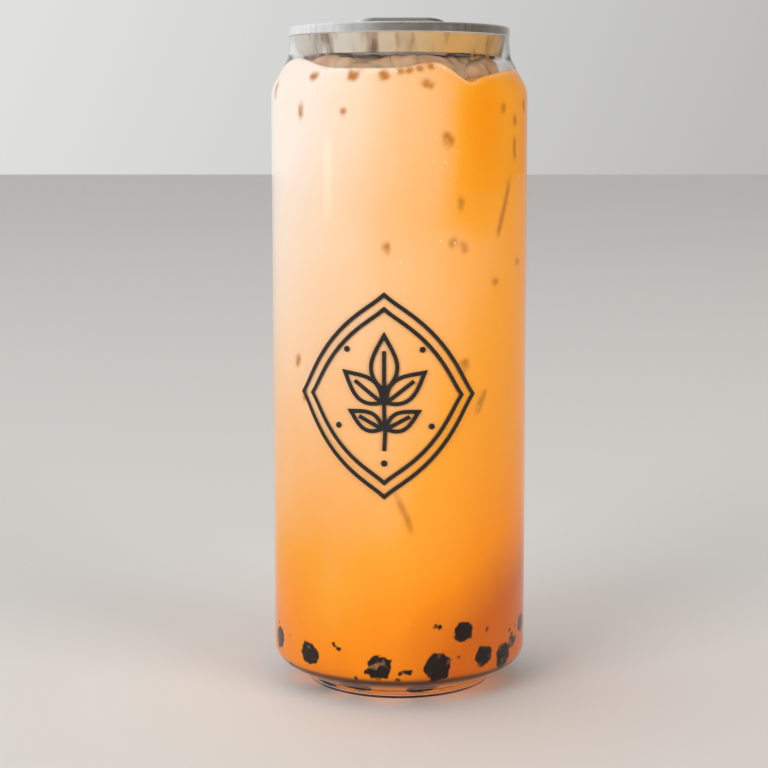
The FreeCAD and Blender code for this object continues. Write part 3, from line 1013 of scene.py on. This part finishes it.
def make_lacquer():
    """The lacquer: a thin coat on the end's wall, its bead and the underside of the panel's edge."""
    can, end = group("clear_can_sizes"), group("can_end_sizes")
    throat = can.seam_radius - can.seam_width
    foot = throat - end.chuck_taper
    low = can.height - end.recess_depth
    panel = foot - can.sheet - end.bead_gap - can.sheet
    top = can.height - can.seam_height - 4 * end.coat
    under = can.height - end.panel_depth - can.sheet
    outer = [
        (throat, top, 0),
        (foot + end.coat, low - end.coat, 0.25 * MM),
        (panel - end.coat, low - end.coat, 0.25 * MM),
        (panel - end.coat, under - end.coat, 0.15 * MM),
        (panel - 1.5 * MM, under - end.coat, 0),
    ]
    inner = [
        (panel - 1.5 * MM, under, 0),
        (panel, under, 0),
        (panel, low, 0),
        (foot, low, 0),
        (throat - end.coat, top, 0),
    ]
    section = rounded(outer) + rounded(inner)
    section.append(section[0])
    radii = np.array([[p.x] * can.segments for p in section])
    heights = np.array([[p.y] * can.segments for p in section])
    mesh = lathe("end_lacquer", radii, heights, sharp=40)
    return new_piece("end_lacquer", mesh, lacquer_finish())


# The studio's lamps: name, place and size in metres, power in watts, colour, and whether glossy and clear
# things show it.
LAMPS = [
    ("key", (-1.7, -2.0, 1.2), (1.5, 1.5), 35.0, (1.0, 0.99, 0.97), False),
    ("fill", (1.9, -1.6, 0.7), (1.5, 1.5), 35.5, (1.0, 0.99, 0.97), False),
    ("strip", (-0.92, -0.42, 0.12), (0.16, 0.07), 0.09, (1.0, 1.0, 1.0), True),
]
# The place that the lamps point at, and half the floor's width, in metres.
LIT_PLACE, FLOOR_HALF = Vector((0, 0, 0.09)), 6.0


def make_stage():
    """The floor, the light and the camera."""
    settings = group("stage_settings")
    scene = bpy.context.scene
    mesh = bpy.data.meshes.new("floor")
    half = FLOOR_HALF
    corners = [(-half, -half, 0), (half, -half, 0), (half, half, 0), (-half, half, 0)]
    mesh.from_pydata(corners, [], [(0, 1, 2, 3)])
    floor = bpy.data.objects.new("floor", mesh)
    scene.collection.objects.link(floor)
    finish, _, _ = material("floor", Base_Color=(*settings.floor, 1), Roughness=0.7)
    mesh.materials.append(finish)
    scene.world = studio()
    for name, place_at, size, power, tint, mirrored in LAMPS:
        lamp = bpy.data.lights.new(name, "AREA")
        lamp.shape, lamp.size, lamp.size_y = "RECTANGLE", size[0], size[1]
        lamp.energy, lamp.color = power, tint
        holder = bpy.data.objects.new(name, lamp)
        scene.collection.objects.link(holder)
        holder.location = place_at
        holder.rotation_euler = (LIT_PLACE - Vector(place_at)).to_track_quat("-Z", "Y").to_euler()
        holder.visible_glossy = mirrored
        holder.visible_transmission = mirrored
    camera = bpy.data.cameras.new("camera")
    camera.lens, camera.sensor_width = settings.focal, 36
    camera.shift_x, camera.shift_y = settings.shift_x, settings.shift_y
    camera.clip_start = 0.01
    holder = bpy.data.objects.new("camera", camera)
    scene.collection.objects.link(holder)
    holder.location = (0, -settings.distance, settings.eye)
    aim = Vector((0, 0, settings.aim)) - holder.location
    holder.rotation_euler = aim.to_track_quat("-Z", "Y").to_euler()
    scene.camera = holder
    scene.view_settings.view_transform = "Standard"


def studio():
    """The studio's walls as a world: pale behind and at the left, darker in front and at the right."""
    world = bpy.data.worlds.new("studio")
    world.use_nodes = True
    tree = world.node_tree
    direction = add(tree, "ShaderNodeTexCoord").outputs["Generated"]
    pale_side = tuple(Vector((-0.80, 0.50, 0.34)).normalized())
    towards = add(tree, "ShaderNodeVectorMath", {"operation": "DOT_PRODUCT"}, i0=direction, i1=pale_side)
    share = maths(tree, "MULTIPLY_ADD", towards.outputs["Value"], 0.5)
    share.node.inputs[2].default_value = 0.5
    dark, middle, pale = (0.10, 0.07, 0.045), (0.26, 0.225, 0.19), (0.52, 0.515, 0.51)
    walls = ramp(tree, share, [(0.05, dark), (0.42, middle), (0.68, pale), (1.0, (1.0, 1.0, 1.0))])
    tree.links.new(walls, tree.nodes["Background"].inputs["Color"])
    tree.nodes["Background"].inputs["Strength"].default_value = 1.0
    return world


# ---------------------------------------------------------------------------------------------- operators


class Maker:
    """What the operators share: each makes its pieces, and a failure stops the script."""

    bl_options = {"REGISTER", "UNDO"}


class TEACAN_OT_pearls(Maker, bpy.types.Operator):
    """Make the tapioca pearls"""

    bl_idname = "teacan.pearls"
    bl_label = "Tapioca pearls"

    def execute(self, context):
        make_pearls()
        return {"FINISHED"}


class TEACAN_OT_ice(Maker, bpy.types.Operator):
    """Make the ice"""

    bl_idname = "teacan.ice"
    bl_label = "Ice"

    def execute(self, context):
        make_ice()
        return {"FINISHED"}


class TEACAN_OT_tea(Maker, bpy.types.Operator):
    """Make the milk tea round the pearls and the ice"""

    bl_idname = "teacan.tea"
    bl_label = "Milk tea"

    def execute(self, context):
        make_tea()
        return {"FINISHED"}


class TEACAN_OT_bubbles(Maker, bpy.types.Operator):
    """Make the foam and the bubbles"""

    bl_idname = "teacan.bubbles"
    bl_label = "Foam and bubbles"

    def execute(self, context):
        make_bubbles()
        return {"FINISHED"}


class TEACAN_OT_can(Maker, bpy.types.Operator):
    """Make the clear can"""

    bl_idname = "teacan.can"
    bl_label = "Clear can"

    def execute(self, context):
        make_can()
        return {"FINISHED"}


class TEACAN_OT_print(Maker, bpy.types.Operator):
    """Print the can's body"""

    bl_idname = "teacan.print"
    bl_label = "Print"

    def execute(self, context):
        make_print()
        return {"FINISHED"}


class TEACAN_OT_metal(Maker, bpy.types.Operator):
    """Finish the metal end and the pull ring"""

    bl_idname = "teacan.metal"
    bl_label = "Metal end and pull ring"

    def execute(self, context):
        dress_metal()
        return {"FINISHED"}


class TEACAN_OT_lacquer(Maker, bpy.types.Operator):
    """Lacquer the metal end's side towards the drink"""

    bl_idname = "teacan.lacquer"
    bl_label = "End's lacquer"

    def execute(self, context):
        make_lacquer()
        return {"FINISHED"}


class TEACAN_OT_stage(Maker, bpy.types.Operator):
    """Set the floor, the light and the camera"""

    bl_idname = "teacan.stage"
    bl_label = "Stage"

    def execute(self, context):
        make_stage()
        return {"FINISHED"}


OPERATORS = (
    TEACAN_OT_pearls,
    TEACAN_OT_ice,
    TEACAN_OT_tea,
    TEACAN_OT_bubbles,
    TEACAN_OT_can,
    TEACAN_OT_print,
    TEACAN_OT_metal,
    TEACAN_OT_lacquer,
    TEACAN_OT_stage,
)


class TEACAN_PT_panel(bpy.types.Panel):
    """The steps, in the order in which they are made"""

    bl_label = "Bubble tea"
    bl_idname = "TEACAN_PT_panel"
    bl_space_type = "VIEW_3D"
    bl_region_type = "UI"
    bl_category = "Bubble tea"

    def draw(self, context):
        for operator in OPERATORS:
            self.layout.operator(operator.bl_idname)


def register():
    for kind in (*GROUPS.values(), *OPERATORS, TEACAN_PT_panel):
        bpy.utils.register_class(kind)
    for name, kind in GROUPS.items():
        setattr(bpy.types.Scene, name, PointerProperty(type=kind))


def unregister():
    for name in GROUPS:
        delattr(bpy.types.Scene, name)
    for kind in reversed((*GROUPS.values(), *OPERATORS, TEACAN_PT_panel)):
        bpy.utils.unregister_class(kind)


def main():
    register()
    for operator in OPERATORS:
        getattr(bpy.ops.teacan, operator.bl_idname.split(".")[1])()


if __name__ == "__main__":
    main()
